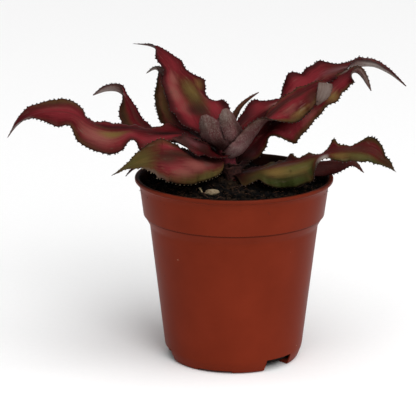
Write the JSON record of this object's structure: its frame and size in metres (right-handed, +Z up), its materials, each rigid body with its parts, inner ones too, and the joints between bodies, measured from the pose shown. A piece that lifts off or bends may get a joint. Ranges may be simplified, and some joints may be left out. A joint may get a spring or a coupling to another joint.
{
  "type": "potted earth star plant",
  "caption": "Earth star bromeliad: a rosette of wavy, recurved, fine-toothed crimson and olive leaves on a short stem, in dark potting mix in a round terracotta-coloured plastic nursery pot.",
  "frame": {"origin": "centre of the underside of the pot, on the surface that it stands on", "axes": "+Z up along the pot's axis, -Y towards the front of the plant, +X to its right seen from the front"},
  "size_m": [0.1813, 0.1073, 0.1387],
  "materials": {
    "terracotta_plastic": "semi-matt moulded polypropylene, terracotta brown",
    "peat_potting_mix": "loose dark peat with fibres, matt",
    "leaf_sheath": "matt, dark red brown",
    "pale_stone": "matt, rough",
    "dry_wood": "bare, dry",
    "leaf_left_long_blade": "firm leaf blade, softly glossy above, silvery scales below",
    "leaf_front_left_blade": "firm leaf blade, softly glossy above, silvery scales below",
    "leaf_rear_left_blade": "firm leaf blade, softly glossy above, silvery scales below",
    "leaf_rear_inner_left_blade": "firm leaf blade, softly glossy above, silvery scales below",
    "leaf_rear_tall_blade": "firm leaf blade, softly glossy above, silvery scales below",
    "leaf_centre_spike_blade": "firm leaf blade, softly glossy above, silvery scales below",
    "leaf_heart_left_blade": "firm leaf blade, softly glossy above, silvery scales below",
    "leaf_heart_right_blade": "firm leaf blade, softly glossy above, silvery scales below",
    "leaf_right_long_blade": "firm leaf blade, softly glossy above, silvery scales below",
    "leaf_right_middle_blade": "firm leaf blade, softly glossy above, silvery scales below",
    "leaf_right_under_blade": "firm leaf blade, softly glossy above, silvery scales below",
    "leaf_front_right_blade": "firm leaf blade, softly glossy above, silvery scales below",
    "leaf_low_right_blade": "firm leaf blade, softly glossy above, silvery scales below",
    "leaf_low_left_blade": "firm leaf blade, softly glossy above, silvery scales below",
    "leaf_heart_side_blade": "firm leaf blade, softly glossy above, silvery scales below",
    "leaf_back_centre_blade": "firm leaf blade, softly glossy above, silvery scales below",
    "leaf_back_right_blade": "firm leaf blade, softly glossy above, silvery scales below",
    "leaf_back_left_blade": "firm leaf blade, softly glossy above, silvery scales below"
  },
  "bodies": {
    "root": {"pot": "terracotta_plastic", "potting_mix": "peat_potting_mix", "stem": "leaf_sheath", "pebble": "pale_stone", "wood_sliver": "dry_wood", "leaf_left_long": "leaf_left_long_blade", "leaf_front_left": "leaf_front_left_blade", "leaf_rear_left": "leaf_rear_left_blade", "leaf_rear_inner_left": "leaf_rear_inner_left_blade", "leaf_rear_tall": "leaf_rear_tall_blade", "leaf_centre_spike": "leaf_centre_spike_blade", "leaf_heart_left": "leaf_heart_left_blade", "leaf_heart_right": "leaf_heart_right_blade", "leaf_right_long": "leaf_right_long_blade", "leaf_right_middle": "leaf_right_middle_blade", "leaf_right_under": "leaf_right_under_blade", "leaf_front_right": "leaf_front_right_blade", "leaf_low_right": "leaf_low_right_blade", "leaf_low_left": "leaf_low_left_blade", "leaf_heart_side": "leaf_heart_side_blade", "leaf_back_centre": "leaf_back_centre_blade", "leaf_back_right": "leaf_back_right_blade", "leaf_back_left": "leaf_back_left_blade"}
  },
  "joints": []
}
